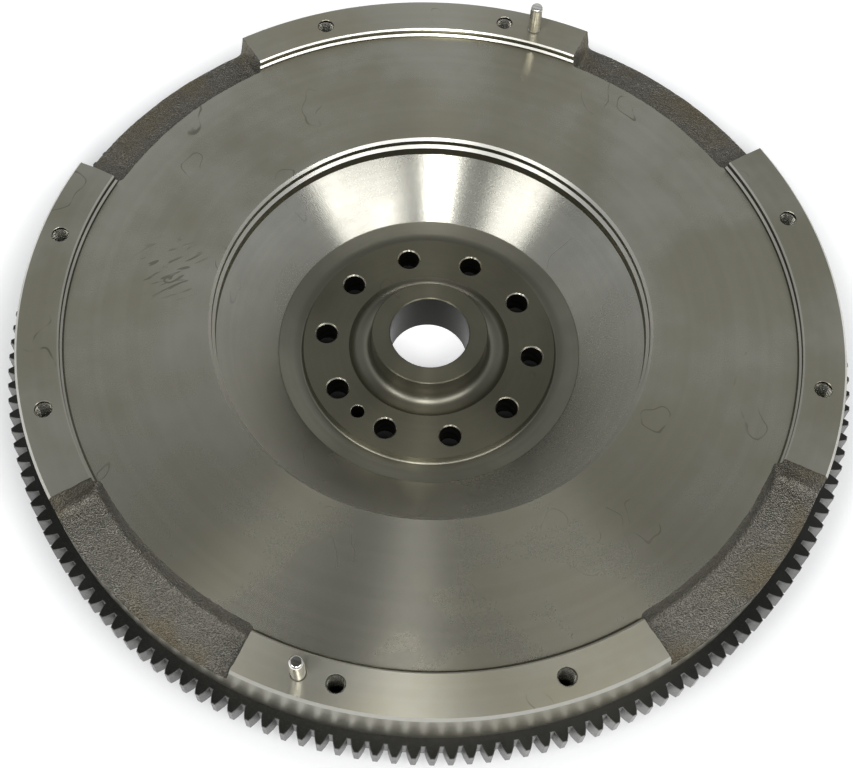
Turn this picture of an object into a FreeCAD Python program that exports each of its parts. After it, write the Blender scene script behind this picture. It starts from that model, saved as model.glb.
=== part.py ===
"""A heavy clutch flywheel, clutch side up: the cast body, its starter ring gear and two dowel pins.

The origin is the centre of the rear face that bolts to the crankshaft. +Z runs along the shaft
towards the clutch. The four clutch pads are centred on the X and Y axes. Millimetres.
"""
import FreeCAD, Part
import math
import os

import Sketcher

Vector = FreeCAD.Vector
Rotation = FreeCAD.Rotation

SIZES = {
    # clutch side of the casting: radii are marked as such, heights are above the rear face
    "rim_radius": 238.0,
    "pad_height": 57.0,
    "pad_inner_radius": 213.1,
    "pad_chamfer": 1.5,
    "pad_inner_chamfer": 0.9,
    "pad_foot_chamfer": 1.1,
    "pad_angle": 56.0,
    "face_height": 52.0,
    "face_inner_radius": 128.7,
    "relief_width": 1.1,
    "relief_depth": 0.6,
    "slot_inner_radius": 209.5,
    "slot_foot_radius": 213.6,
    "slot_height": 41.4,
    "slot_fall": 1.4,
    "slot_fillet": 4.0,
    # stepped edge of the bowl, then the cone and the two turned relief channels
    "lip_chamfer": 1.5,
    "lip_wall": 3.4,
    "step_chamfer": 1.7,
    "step_wall": 6.0,
    "cone_foot_radius": 90.5,
    "cone_foot_height": 16.0,
    "channel_floor_radius": 80.5,
    "channel_floor_height": 11.7,
    "channel_fillet": 4.5,
    # crank flange and hub ring
    "flange_radius": 75.4,
    "flange_height": 16.7,
    "flange_inner_radius": 48.2,
    "well_outer_radius": 44.2,
    "well_height": 12.7,
    "well_fillet": 5.5,
    "hub_radius": 34.6,
    "hub_height": 31.4,
    "hub_chamfer": 0.6,
    "bore_radius": 23.5,
    # rear side
    "boss_radius": 98.0,
    "web_height": 24.5,
    "web_inner_radius": 136.0,
    "web_outer_radius": 190.0,
    "rim_inner_radius": 196.0,
    "rim_rear_height": 6.0,
    "rear_fillet": 8.0,
    "register_radius": 230.0,
    "register_chamfer": 1.0,
    # holes
    "cover_circle_radius": 225.0,
    "cover_bolt_offset": 15.0,
    "cover_hole_radius": 4.25,
    "cover_hole_depth": 30.0,
    "cover_hole_chamfer": 1.0,
    "crank_circle_radius": 62.1,
    "crank_bolt_count": 10,
    "crank_bolt_angle": 26.9,
    "crank_hole_radius": 6.5,
    "crank_hole_chamfer": 0.7,
    "crank_dowel_angle": 224.9,
    "crank_dowel_radius": 4.0,
    "crank_dowel_chamfer": 0.4,
    # pressed dowel pins that locate the clutch cover
    "pin_radius": 4.0,
    "pin_free_radius": 3.95,
    "pin_neck_radius": 3.6,
    "pin_neck_length": 1.0,
    "pin_length": 36.5,
    "pin_depth": 16.0,
    "pin_chamfer": 1.2,
    "pin_angle": 70.0,
    # starter ring gear
    "gear_teeth": 158,
    "gear_tip_radius": 249.0,
    "gear_root_radius": 242.6,
    "gear_top_height": 24.0,
    "gear_width": 14.0,
    "gear_chamfer": 0.8,
    "tooth_gap_at_tip": 7.5,
    "tooth_gap_at_root": 2.3,
}

doc = FreeCAD.newDocument("flywheel")
sheet = doc.addObject("Spreadsheet::Sheet", "sizes")


class Size:
    """A length that knows both its value now and the sheet expression that drives it."""

    def __init__(self, value, text):
        self.value = float(value)
        self.text = text

    def joined(self, other, sign):
        other = other if isinstance(other, Size) else Size(other, str(other))
        value = self.value + other.value if sign == "+" else self.value - other.value
        return Size(value, "(%s %s %s)" % (self.text, sign, other.text))

    def __add__(self, other):
        return self.joined(other, "+")

    def __sub__(self, other):
        return self.joined(other, "-")


def fill_sheet():
    """Write every driving size into the sheet as a plain number with its own alias."""
    for row, (name, value) in enumerate(SIZES.items(), start=1):
        sheet.set("A%d" % row, name)
        sheet.set("B%d" % row, str(value))
        sheet.setAlias("B%d" % row, name)
    doc.recompute()


def size(name):
    return Size(SIZES[name], "sizes." + name)


def bind(feature, prop, name):
    """Drive one property of a feature by a cell of the sheet."""
    feature.setExpression(prop, "sizes." + name)


def new_body(label):
    body = doc.addObject("PartDesign::Body", label)
    body.Label = label
    return body


def new_sketch(body, name, role, offset=None):
    """A sketch on one of the body's own origin planes, moved off it by an optional placement."""
    plane = [item for item in body.Origin.OriginFeatures if item.Role == role][0]
    sketch = body.newObject("Sketcher::SketchObject", name)
    sketch.AttachmentSupport = [(plane, "")]
    sketch.MapMode = "FlatFace"
    if offset is not None:
        sketch.AttachmentOffset = offset
    return sketch


def place_point(sketch, geometry, end, x, y):
    """Hold one sketch point at (x, y) from the sketch's origin, both driven by the sheet."""
    for kind, distance in (("DistanceX", x), ("DistanceY", y)):
        if abs(distance.value) < 1e-9:
            axis = -2 if kind == "DistanceX" else -1
            sketch.addConstraint(Sketcher.Constraint("PointOnObject", geometry, end, axis))
            continue
        index = sketch.addConstraint(Sketcher.Constraint(kind, -1, 1, geometry, end, distance.value))
        sketch.setExpression("Constraints[%d]" % index, distance.text)


def draw_polygon(sketch, corners):
    """Draw a closed outline whose corners are pairs of driven sizes."""
    points = [Vector(x.value, y.value, 0) for x, y in corners]
    lines = [Part.LineSegment(a, b) for a, b in zip(points, points[1:] + points[:1])]
    sketch.addGeometry(lines, False)
    for index in range(len(points)):
        following = (index + 1) % len(points)
        sketch.addConstraint(Sketcher.Constraint("Coincident", index, 2, following, 1))
    for index, (x, y) in enumerate(corners):
        place_point(sketch, index, 1, x, y)


def draw_circle(sketch, distance, radius):
    """Draw one circle on the sketch's X axis at a driven distance and with a driven radius."""
    centre = Vector(distance.value, 0, 0)
    circle = sketch.addGeometry(Part.Circle(centre, Vector(0, 0, 1), radius.value), False)
    place_point(sketch, circle, 3, distance, Size(0, "0"))
    index = sketch.addConstraint(Sketcher.Constraint("Radius", circle, radius.value))
    sketch.setExpression("Constraints[%d]" % index, radius.text)


def revolve(body, sketch, name, kind="PartDesign::Revolution", angle=360.0):
    """Turn a sketch about its own vertical axis, which is the shaft's axis."""
    feature = body.newObject(kind, name)
    feature.Profile = sketch
    feature.ReferenceAxis = (sketch, ["V_Axis"])
    feature.Angle = angle
    sketch.Visibility = False
    return feature


def edges_on_circle(body, radius, height, on_axis=True):
    """Names of the body's circular edges of one radius at one height, about the shaft or not."""
    names = []
    for number, edge in enumerate(body.Shape.Edges, start=1):
        curve = edge.Curve
        if not isinstance(curve, Part.Circle) or abs(curve.Radius - radius) > 0.01:
            continue
        centred = math.hypot(curve.Center.x, curve.Center.y) < 0.01
        if abs(curve.Center.z - height) < 0.01 and centred == on_axis:
            names.append("Edge%d" % number)
    if not names:
        raise RuntimeError("no edge of radius %.2f at height %.2f" % (radius, height))
    return names


def dress(body, kind, name, corners, size_name, on_axis=True):
    """Fillet or chamfer the circular edges found at the given (radius, height) corners."""
    doc.recompute()
    names = []
    for radius, height in corners:
        names += edges_on_circle(body, radius.value, height.value, on_axis)
    base = body.Tip
    feature = body.newObject(kind, name)
    feature.Base = (base, names)
    bind(feature, "Radius" if kind == "PartDesign::Fillet" else "Size", size_name)
    doc.recompute()
    return feature


def drill(body, name, circle, radius, height, depth, angle):
    """Drill one hole down from a height, its centre turned by an angle about the shaft."""
    before = body.Shape.Volume
    turn = FreeCAD.Placement(Vector(0, 0, height.value), Rotation(Vector(0, 0, 1), angle))
    sketch = new_sketch(body, name + "_sketch", "XY_Plane", turn)
    sketch.setExpression("AttachmentOffset.Base.z", height.text)
    draw_circle(sketch, circle, radius)
    pocket = body.newObject("PartDesign::Pocket", name)
    pocket.Profile = sketch
    pocket.Length = depth.value
    pocket.setExpression("Length", depth.text)
    sketch.Visibility = False
    doc.recompute()
    if before - body.Shape.Volume < 1.0:
        raise RuntimeError(name + " cuts nothing")
    return pocket


def repeat(body, name, features, count):
    """Repeat features evenly around the shaft."""
    pattern = body.newObject("PartDesign::PolarPattern", name)
    pattern.Originals = features
    axis = [item for item in body.Origin.OriginFeatures if item.Role == "Z_Axis"][0]
    pattern.Axis = (axis, [""])
    pattern.Angle = 360.0
    pattern.Occurrences = count
    body.Tip = pattern
    doc.recompute()
    return pattern


def casting_outline():
    """Half section of the casting: rear face, rear of the web, rim, clutch side, hub and bore."""
    zero = Size(0, "0")
    face, lip = size("face_height"), size("face_inner_radius")
    pad_top, pad_in = size("pad_height"), size("pad_inner_radius")
    foot, relief = size("pad_foot_chamfer"), size("relief_width")
    lip_cut, step_cut = size("lip_chamfer"), size("step_chamfer")
    bore, hub, cut = size("bore_radius"), size("hub_radius"), size("hub_chamfer")
    wall = lip - lip_cut
    step_top = face - lip_cut - size("lip_wall")
    cone_top = step_top - step_cut - size("step_wall")
    rear = [
        (bore + cut, zero),
        (size("boss_radius"), zero),
        (size("web_inner_radius"), size("web_height")),
        (size("web_outer_radius"), size("web_height")),
        (size("rim_inner_radius"), size("rim_rear_height")),
        (size("register_radius") - size("register_chamfer"), size("rim_rear_height")),
        (size("register_radius"), size("rim_rear_height") + size("register_chamfer")),
        (size("register_radius"), size("gear_top_height")),
        (size("rim_radius"), size("gear_top_height")),
    ]
    pad = [
        (size("rim_radius"), pad_top - size("pad_chamfer")),
        (size("rim_radius") - size("pad_chamfer"), pad_top),
        (pad_in + size("pad_inner_chamfer"), pad_top),
        (pad_in, pad_top - size("pad_inner_chamfer")),
        (pad_in, face + foot),
        (pad_in - foot, face),
        (pad_in - foot, face - size("relief_depth")),
        (pad_in - foot - relief, face - size("relief_depth")),
        (pad_in - foot - relief, face),
    ]
    bowl = [
        (lip, face),
        (wall, face - lip_cut),
        (wall, step_top),
        (wall - step_cut, step_top - step_cut),
        (wall - step_cut, cone_top),
        (size("cone_foot_radius"), size("cone_foot_height")),
        (size("channel_floor_radius"), size("channel_floor_height")),
        (size("flange_radius"), size("channel_floor_height")),
        (size("flange_radius"), size("flange_height")),
    ]
    hub_side = [
        (size("flange_inner_radius"), size("flange_height")),
        (size("well_outer_radius"), size("well_height")),
        (hub, size("well_height")),
        (hub, size("hub_height") - cut),
        (hub - cut, size("hub_height")),
        (bore + cut, size("hub_height")),
        (bore, size("hub_height") - cut),
        (bore, zero + cut),
    ]
    return rear + pad + bowl + hub_side


def cut_slots(body):
    """Cut the four as-cast gaps between the clutch pads, down to a shelf that falls outwards."""
    before = body.Shape.Volume
    width = 90.0 - SIZES["pad_angle"]
    turn = FreeCAD.Placement(Vector(0, 0, 0), Rotation(Vector(0, 1, 0), 45.0 - width / 2))
    sketch = new_sketch(body, "slot_sketch", "XZ_Plane", turn)
    sketch.setExpression("AttachmentOffset.Rotation.Angle", "sizes.pad_angle / 2")
    beyond = size("rim_radius") + 5
    above = size("pad_height") + 5
    draw_polygon(sketch, [
        (size("slot_foot_radius"), size("slot_height")),
        (beyond, size("slot_height") - size("slot_fall")),
        (beyond, above),
        (size("slot_inner_radius"), above),
        (size("slot_inner_radius"), size("face_height")),
    ])
    groove = revolve(body, sketch, "slot", "PartDesign::Groove", width)
    groove.setExpression("Angle", "90 - sizes.pad_angle")
    doc.recompute()
    if before - body.Shape.Volume < 1000.0:
        raise RuntimeError("the slot cuts nothing")
    repeat(body, "slots", [groove], 4)


def make_flywheel_body():
    """The grey iron casting, turned, then slotted, drilled and tapped."""
    body = new_body("flywheel_body")
    sketch = new_sketch(body, "casting_sketch", "XZ_Plane")
    draw_polygon(sketch, casting_outline())
    revolve(body, sketch, "casting")
    doc.recompute()
    cut_slots(body)
    circle = size("cover_circle_radius")
    top = size("pad_height")
    for side, name in ((1, "cover_hole_left"), (-1, "cover_hole_right")):
        angle = side * SIZES["cover_bolt_offset"]
        hole = drill(body, name, circle, size("cover_hole_radius"), top, size("cover_hole_depth"), angle)
        repeat(body, name + "s", [hole], 4)
    pin_angle = SIZES["pin_angle"]
    pin_hole = drill(body, "pin_hole", circle, size("pin_radius"), top, size("pin_depth"), pin_angle)
    repeat(body, "pin_holes", [pin_hole], 2)
    flange = size("flange_height")
    crank = size("crank_circle_radius")
    angle = SIZES["crank_bolt_angle"]
    bolt = drill(body, "crank_hole", crank, size("crank_hole_radius"), flange, flange, angle)
    repeat(body, "crank_holes", [bolt], int(SIZES["crank_bolt_count"]))
    angle = SIZES["crank_dowel_angle"]
    drill(body, "crank_dowel_hole", crank, size("crank_dowel_radius"), flange, flange, angle)
    chamfer, fillet = "PartDesign::Chamfer", "PartDesign::Fillet"
    dress(body, chamfer, "cover_chamfers", [(size("cover_hole_radius"), top)], "cover_hole_chamfer", False)
    dress(body, chamfer, "crank_chamfers", [(size("crank_hole_radius"), flange)], "crank_hole_chamfer", False)
    dress(body, chamfer, "dowel_chamfer", [(size("crank_dowel_radius"), flange)], "crank_dowel_chamfer", False)
    dress(body, fillet, "channel_corner", [(size("flange_radius"), size("channel_floor_height"))], "channel_fillet")
    dress(body, fillet, "well_corner", [(size("hub_radius"), size("well_height"))], "well_fillet")
    rear = [(size("web_inner_radius"), size("web_height")), (size("web_outer_radius"), size("web_height"))]
    dress(body, fillet, "rear_corners", rear, "rear_fillet")
    dress(body, fillet, "slot_corners", [(size("slot_foot_radius"), size("slot_height"))], "slot_fillet")
    return body


def make_ring_gear():
    """The shrunk-on starter ring, its spur teeth cut one gap at a time."""
    body = new_body("starter_ring_gear")
    top, cut, tip = size("gear_top_height"), size("gear_chamfer"), size("gear_tip_radius")
    bottom = top - size("gear_width")
    blank = new_sketch(body, "blank_sketch", "XZ_Plane")
    draw_polygon(blank, [
        (size("register_radius"), bottom),
        (tip - cut, bottom),
        (tip, bottom + cut),
        (tip, top - cut),
        (tip - cut, top),
        (size("register_radius"), top),
    ])
    revolve(body, blank, "blank")
    doc.recompute()
    before = body.Shape.Volume
    gap = new_sketch(body, "gap_sketch", "XY_Plane", FreeCAD.Placement(Vector(0, 0, top.value), Rotation()))
    gap.setExpression("AttachmentOffset.Base.z", top.text)
    root_half = Size(SIZES["tooth_gap_at_root"] / 2, "sizes.tooth_gap_at_root / 2")
    tip_half = Size(SIZES["tooth_gap_at_tip"] / 2, "sizes.tooth_gap_at_tip / 2")
    minus_root = Size(-root_half.value, "-" + root_half.text)
    minus_tip = Size(-tip_half.value, "-" + tip_half.text)
    draw_polygon(gap, [
        (size("gear_root_radius"), minus_root),
        (tip, minus_tip),
        (tip + 2, minus_tip),
        (tip + 2, tip_half),
        (tip, tip_half),
        (size("gear_root_radius"), root_half),
    ])
    pocket = body.newObject("PartDesign::Pocket", "tooth_gap")
    pocket.Profile = gap
    pocket.Length = SIZES["gear_width"]
    bind(pocket, "Length", "gear_width")
    gap.Visibility = False
    doc.recompute()
    if before - body.Shape.Volume < 10.0:
        raise RuntimeError("the tooth gap cuts nothing")
    repeat(body, "tooth_gaps", [pocket], int(SIZES["gear_teeth"]))
    return body


def make_dowel_pin(number):
    """One hardened pin: pressed shank, narrow neck at the pad's face and free end, chamfered."""
    body = new_body("clutch_dowel_pin_%d" % number)
    sketch = new_sketch(body, "pin_sketch_%d" % number, "XZ_Plane")
    zero, cut = Size(0, "0"), size("pin_chamfer")
    length, depth = size("pin_length"), size("pin_depth")
    radius, neck, free = size("pin_radius"), size("pin_neck_radius"), size("pin_free_radius")
    draw_polygon(sketch, [
        (zero, zero),
        (radius - cut, zero),
        (radius, cut),
        (radius, depth),
        (neck, depth),
        (neck, depth + size("pin_neck_length")),
        (free, depth + size("pin_neck_length")),
        (free, length - cut),
        (free - cut, length),
        (zero, length),
    ])
    revolve(body, sketch, "pin_%d" % number)
    angle = math.radians(SIZES["pin_angle"] + 180.0 * (number - 1))
    circle = SIZES["cover_circle_radius"]
    foot = SIZES["pad_height"] - SIZES["pin_depth"]
    body.Placement = FreeCAD.Placement(
        Vector(circle * math.cos(angle), circle * math.sin(angle), foot), Rotation()
    )
    body.setExpression("Placement.Base.z", "sizes.pad_height - sizes.pin_depth")
    return body


def check_and_export(bodies):
    """Refuse a failed feature or a bad solid, then write one STEP file for each sub-part."""
    doc.recompute()
    for item in doc.Objects:
        if "Invalid" in item.State or "Error" in item.State:
            raise RuntimeError("%s failed: %s" % (item.Name, item.State))
    os.makedirs("parts", exist_ok=True)
    for body in bodies:
        shape = body.Shape
        if shape.isNull() or not shape.isValid() or len(shape.Solids) != 1:
            raise RuntimeError(body.Label + " is not one valid solid")
        shape.exportStep("parts/%s.step" % body.Label)
        box = shape.BoundBox
        print("%s %.0f mm3, %.2f x %.2f x %.2f mm" % (
            body.Label, shape.Volume, box.XLength, box.YLength, box.ZLength))


fill_sheet()
check_and_export([make_flywheel_body(), make_ring_gear(), make_dowel_pin(1), make_dowel_pin(2)])
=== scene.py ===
"""A heavy clutch flywheel with its starter ring gear and two dowel pins, clutch side up.

Metres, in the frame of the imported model: the origin is the centre of the rear face that bolts to
the crankshaft, +Z points to the clutch, and the four pads are centred on the X and Y axes.
"""
import math

import bmesh
import bpy
from bpy.props import FloatProperty, FloatVectorProperty, IntProperty, PointerProperty
from bpy.types import Operator, Panel, PropertyGroup
from mathutils import Matrix, Vector, noise


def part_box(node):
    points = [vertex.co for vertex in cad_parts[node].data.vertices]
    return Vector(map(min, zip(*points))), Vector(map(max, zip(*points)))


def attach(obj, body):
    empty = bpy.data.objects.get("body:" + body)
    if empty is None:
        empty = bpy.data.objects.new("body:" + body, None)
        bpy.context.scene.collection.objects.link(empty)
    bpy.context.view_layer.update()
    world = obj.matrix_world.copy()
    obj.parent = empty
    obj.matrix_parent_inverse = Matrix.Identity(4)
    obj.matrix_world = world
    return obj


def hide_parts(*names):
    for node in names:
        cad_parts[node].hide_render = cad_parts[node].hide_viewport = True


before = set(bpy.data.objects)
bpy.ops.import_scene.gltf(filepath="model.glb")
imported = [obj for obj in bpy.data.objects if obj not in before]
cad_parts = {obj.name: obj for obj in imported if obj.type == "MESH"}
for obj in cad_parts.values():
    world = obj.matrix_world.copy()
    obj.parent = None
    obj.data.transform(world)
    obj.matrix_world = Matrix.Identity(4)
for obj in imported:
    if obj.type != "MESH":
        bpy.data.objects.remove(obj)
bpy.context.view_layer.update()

bl_info = {
    "name": "Clutch Flywheel",
    "version": (1, 0, 0),
    "blender": (4, 5, 0),
    "location": "View3D > Sidebar > Flywheel",
    "description": "Builds a heavy clutch flywheel with its ring gear, pins and studio stage",
    "category": "Add Mesh",
}

MM = 0.001
BODY_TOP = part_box("flywheel_body")[1]
GEAR_LOW, GEAR_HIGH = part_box("starter_ring_gear")
PIN_LOW, PIN_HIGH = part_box("clutch_dowel_pin_1")

# Depths of the countersinks, of a drill's point, and the radius of the pins' holes
COVER_SINK, CRANK_SINK, DOWEL_SINK, PIN_SINK = 0.25 * MM, 0.7 * MM, 0.4 * MM, 0.3 * MM
DRILL_POINT = 2.6 * MM
PIN_HOLE = 4.05 * MM

# Steps round a turned surface and round a drilled hole
TURNED_STEPS, DRILLED_STEPS = 360, 48

# Where the scuffs lie on the friction face
SCUFF_PLACE = (-0.152, 0.036, 0.052)

# Order of the casting's material slots
FACE, PAD, RIM, PAINTED_EDGE_HIGHLIGHT, PAINTED_SHADE_WALL, CONE, HOLLOW, FLANGE, BORE, SKIN, DRILLED, THREAD = range(12)


def length(name, description, default):
    """A distance in metres."""
    return FloatProperty(
        name=name, description=description, default=default, min=0.0, precision=5,
        unit="LENGTH", subtype="DISTANCE",
    )


def degrees(name, description, default):
    """An angle, given in degrees and kept in radians."""
    return FloatProperty(
        name=name, description=description, default=math.radians(default), unit="ROTATION", subtype="ANGLE"
    )


def colour(name, description, *default):
    """A linear colour."""
    return FloatVectorProperty(
        name=name, description=description, default=default, size=3, min=0.0, max=1.0, subtype="COLOR"
    )


class CastingSizes(PropertyGroup):
    """Radii, heights above the rear face and angles of the casting."""

    rim_radius: length("Rim radius", "Outside of the rim and pads", BODY_TOP.x)
    pad_height: length("Pad height", "Top of the four pads", BODY_TOP.z)
    pad_inner: length("Pad inner radius", "Wall between a pad and the friction face", 213.1 * MM)
    pad_chamfer: length("Pad chamfer", "Chamfer round the outside of the pads", 1.5 * MM)
    pad_inner_chamfer: length("Inner chamfer", "Chamfer on the inner edge of the pads", 0.9 * MM)
    pad_foot: length("Pad foot", "Chamfer where a pad's inner wall meets the face", 1.1 * MM)
    relief_depth: length("Relief depth", "Tool relief between face and pads", 0.6 * MM)
    face_height: length("Face height", "Friction face", 52 * MM)
    face_inner: length("Face inner radius", "Inner edge of the friction face", 128.7 * MM)
    lip_chamfer: length("Lip chamfer", "Chamfer on the friction face's inner edge", 1.5 * MM)
    lip_wall: length("Lip wall", "Height of the first step of the bowl", 3.4 * MM)
    step_chamfer: length("Step chamfer", "Sloping ledge of the bowl's step", 1.7 * MM)
    step_wall: length("Step wall", "Height of the second step of the bowl", 6.0 * MM)
    cone_foot: length("Cone foot radius", "Lower edge of the cone", 90.5 * MM)
    cone_foot_height: length("Cone foot height", "Height of the cone's lower edge", 16.0 * MM)
    channel_radius: length("Channel radius", "Start of the channel's floor", 80.5 * MM)
    channel_height: length("Channel height", "Floor of the channel round the flange", 11.7 * MM)
    flange_radius: length("Flange radius", "Outside of the crank flange", 75.4 * MM)
    flange_height: length("Flange height", "Seat of the crank bolts", 16.7 * MM)
    flange_inner: length("Flange inner radius", "Inner edge of the crank flange", 48.2 * MM)
    well_radius: length("Well radius", "Start of the floor round the hub ring", 44.2 * MM)
    well_height: length("Well height", "Floor of the well round the hub ring", 12.7 * MM)
    hub_radius: length("Hub radius", "Outside of the hub ring", 34.6 * MM)
    hub_height: length("Hub height", "Top of the hub ring", 31.4 * MM)
    bore_radius: length("Bore radius", "Central bore", 23.5 * MM)
    edge: length("Edge break", "Chamfer on the edges of the hub and bore", 0.6 * MM)
    boss_radius: length("Boss radius", "Rear boss that meets the crankshaft", 98 * MM)
    web_inner: length("Web inner radius", "Rear hollow, inner end of its roof", 136 * MM)
    web_outer: length("Web outer radius", "Rear hollow, outer end of its roof", 190 * MM)
    web_height: length("Web height", "Roof of the rear hollow", 24.5 * MM)
    rim_inner: length("Rim inner radius", "Inside of the rim at the rear", 196 * MM)
    rim_rear: length("Rim rear height", "Rear face of the rim", 6 * MM)
    register_radius: length("Register radius", "Seat of the ring gear", 230 * MM)
    gear_seat: length("Gear seat height", "Shoulder that the ring gear is pushed against", GEAR_HIGH.z)
    slot_inner: length("Slot inner radius", "Top of the inner wall of a gap between pads", 209.5 * MM)
    slot_foot: length("Slot foot radius", "Foot of that wall", 213.6 * MM)
    slot_height: length("Slot height", "Floor of a gap at its inner wall", 41.4 * MM)
    slot_fall: length("Slot fall", "Drop of the floor to the rim", 1.4 * MM)
    slot_angle: degrees("Slot angle", "Width of a gap between two pads", 34)
    slot_draft: length("Slot draft", "How far a gap's end walls lean in at the foot", 3.2 * MM)
    slot_round: IntProperty(
        name="Slot round", description="Smoothing passes that round a gap's foot", default=24, min=0
    )
    cover_circle: length("Cover bolt circle", "Radius of the clutch cover's bolt circle", 225 * MM)
    cover_offset: degrees("Cover bolt offset", "From a pad's middle to each of its bolts", 15)
    cover_hole: length("Cover hole radius", "Root of the M10 thread", 5.03 * MM)
    cover_crest: length("Thread crest radius", "Crest of the M10 thread", 4.3 * MM)
    cover_pitch: length("Thread pitch", "Pitch of the M10 thread", 1.5 * MM)
    cover_depth: length("Cover hole depth", "Depth of the threaded holes", 30 * MM)
    crank_circle: length("Crank bolt circle", "Radius of the crank bolt circle", 62.1 * MM)
    crank_count: IntProperty(name="Crank bolts", description="Number of crank bolt holes", default=10, min=3)
    crank_start: degrees("First crank bolt", "Angle of the first crank bolt hole", 26.9)
    crank_hole: length("Crank hole radius", "Clearance hole of a crank bolt", 6.5 * MM)
    dowel_angle: degrees("Dowel angle", "Angle of the crank dowel hole", 224.9)
    dowel_radius: length("Dowel radius", "Crank dowel hole", 4.0 * MM)


class GearSizes(PropertyGroup):
    """The starter ring gear."""

    teeth: IntProperty(name="Teeth", description="Number of teeth", default=158, min=20)
    tip_radius: length("Tip radius", "Outside of the teeth", GEAR_HIGH.x)
    root_radius: length("Root radius", "Bottom of the gaps", 242.6 * MM)
    bore_radius: length("Bore radius", "Inside of the ring", 230 * MM)
    tip_land: length("Tip land", "Width of a tooth at its tip", 2.5 * MM)
    root_gap: length("Root gap", "Width of a gap at its bottom", 2.0 * MM)
    flank_bulge: length("Flank bulge", "How far a flank bows out of a straight line", 0.28 * MM)
    edge: length("Edge chamfer", "Chamfer on the ends of the teeth", 0.35 * MM)


class PinSizes(PropertyGroup):
    """The two dowel pins that locate the clutch cover."""

    radius: length("Pin radius", "Pressed shank", 4.0 * MM)
    free_radius: length("Free radius", "Free end", 3.95 * MM)
    neck_radius: length("Neck radius", "Groove at the pad's face", 3.6 * MM)
    chamfer: length("Chamfer", "Chamfer on the free end", 1.2 * MM)
    angle: degrees("Angle", "Angle of the first pin; the second is opposite", 70)


class Finishes(PropertyGroup):
    """Colours of the metal surfaces."""

    face: colour("Turned face", "Friction face and pads", 0.43, 0.416, 0.352)
    face_stain: colour("Face stain", "Oily cast of the turned face", 0.345, 0.326, 0.25)
    cone: colour("Cone", "Bright cone of the bowl", 0.41, 0.40, 0.35)
    # Painted highlight: chamfers and ledges are coloured brighter than the turned face; the cut thread uses
    # this colour too
    edge: colour("Broken edge", "Bright chamfers and ledges", 0.62, 0.61, 0.56)
    flange: colour("Flange", "Crank flange and hub", 0.172, 0.163, 0.118)
    hollow: colour("Hollow", "Channel and hub well", 0.235, 0.226, 0.18)
    skin: colour("Cast skin", "Unmachined iron", 0.19, 0.18, 0.155)
    rust: colour("Rust", "Thin rust on the cast skin", 0.20, 0.17, 0.115)
    gear: colour("Gear", "Hardened faces of the ring gear", 0.032, 0.032, 0.03)
    flank: colour("Tooth flank", "Cut flanks of the teeth", 0.15, 0.15, 0.145)
    pin: colour("Pin", "Polished dowel pins", 0.70, 0.68, 0.63)


class StageSettings(PropertyGroup):
    """Camera, lights and floor."""

    azimuth: degrees("Azimuth", "Camera's direction from the friction face's centre", -6.03)
    elevation: degrees("Elevation", "Camera's height angle above the friction face", 58.74)
    distance: length("Distance", "Camera's distance from the friction face's centre", 0.7964)
    aim: FloatVectorProperty(
        name="Aim", description="Point that the camera faces", default=(-0.0232, -0.0453, 0.052),
        subtype="XYZ",
    )
    roll: degrees("Roll", "Camera's turn about its own axis", 1.35)
    lens: FloatProperty(
        name="Lens", description="Focal length in millimetres", default=57.91, subtype="DISTANCE_CAMERA"
    )
    shift: FloatProperty(name="Shift", description="Sideways shift of the frame", default=0.0385)
    floor_colour: colour("Floor", "Pale floor", 0.9, 0.9, 0.9)
    wall_colour: colour("Wall", "Soft light from near the horizon", 0.40, 0.395, 0.37)
    cove_colour: colour("Cove", "Paler soft light from half-way up", 0.64, 0.66, 0.69)
    ceiling_colour: colour("Ceiling", "Soft light from overhead", 0.07, 0.068, 0.06)
    light_strength: FloatProperty(
        name="Light strength", description="Brightness of the strip lights", default=6.0, min=0.0
    )


# ---------------------------------------------------------------- mesh tools


def lathe(bm, corners, finish, steps, at=(0, 0, 0)):
    """Turn one run of a section full round the Z axis, then move it to a point.

    corners are (radius, height) or (radius, height, setback), where the setback rounds that corner.
    """
    run = bmesh.new()
    verts = [run.verts.new((corner[0], 0.0, corner[1])) for corner in corners]
    for pair in zip(verts, verts[1:]):
        run.edges.new(pair)
    for vert, corner in zip(verts, corners):
        if len(corner) == 3:
            bmesh.ops.bevel(
                run, geom=[vert], offset=corner[2], segments=6, profile=0.5, affect="VERTICES", material=-1
            )
    geom = run.verts[:] + run.edges[:]
    bmesh.ops.spin(run, geom=geom, axis=(0, 0, 1), angle=math.tau, steps=steps, use_merge=True)
    for face in run.faces:
        face.material_index = finish
    bmesh.ops.translate(run, verts=run.verts, vec=at)
    join(bm, run)


def join(bm, part):
    """Put a second bmesh's geometry into the first, and free the second."""
    mesh = bpy.data.meshes.new("part")
    part.to_mesh(mesh)
    part.free()
    bm.from_mesh(mesh)
    bpy.data.meshes.remove(mesh)


def drill(bm, radius, countersink, top, bottom, at, tip=0.0):
    """A drill-shaped solid that cuts a countersunk hole at a point of the XY plane."""
    flare = countersink + 1 * MM
    cone = [(0, top + 1 * MM), (radius + flare, top + 1 * MM), (radius, top - countersink)]
    lathe(bm, cone, FACE, DRILLED_STEPS, at)
    lathe(bm, [(radius, top - countersink), (radius, bottom), (0, bottom - tip)], DRILLED, DRILLED_STEPS, at)


def close_up(bm, gap=0.004 * MM):
    """Merge the seams and poles and turn every face outwards."""
    bmesh.ops.remove_doubles(bm, verts=bm.verts, dist=gap)
    bmesh.ops.recalc_face_normals(bm, faces=bm.faces)


def soften(bm, limit, rough=None):
    """Shade smooth, with sharp edges past the limit angle except inside the rough finish."""
    for face in bm.faces:
        face.smooth = True
    for edge in bm.edges:
        inside = rough is not None and all(face.material_index == rough for face in edge.link_faces)
        edge.smooth = inside or (edge.is_manifold and edge.calc_face_angle() < limit)


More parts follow.
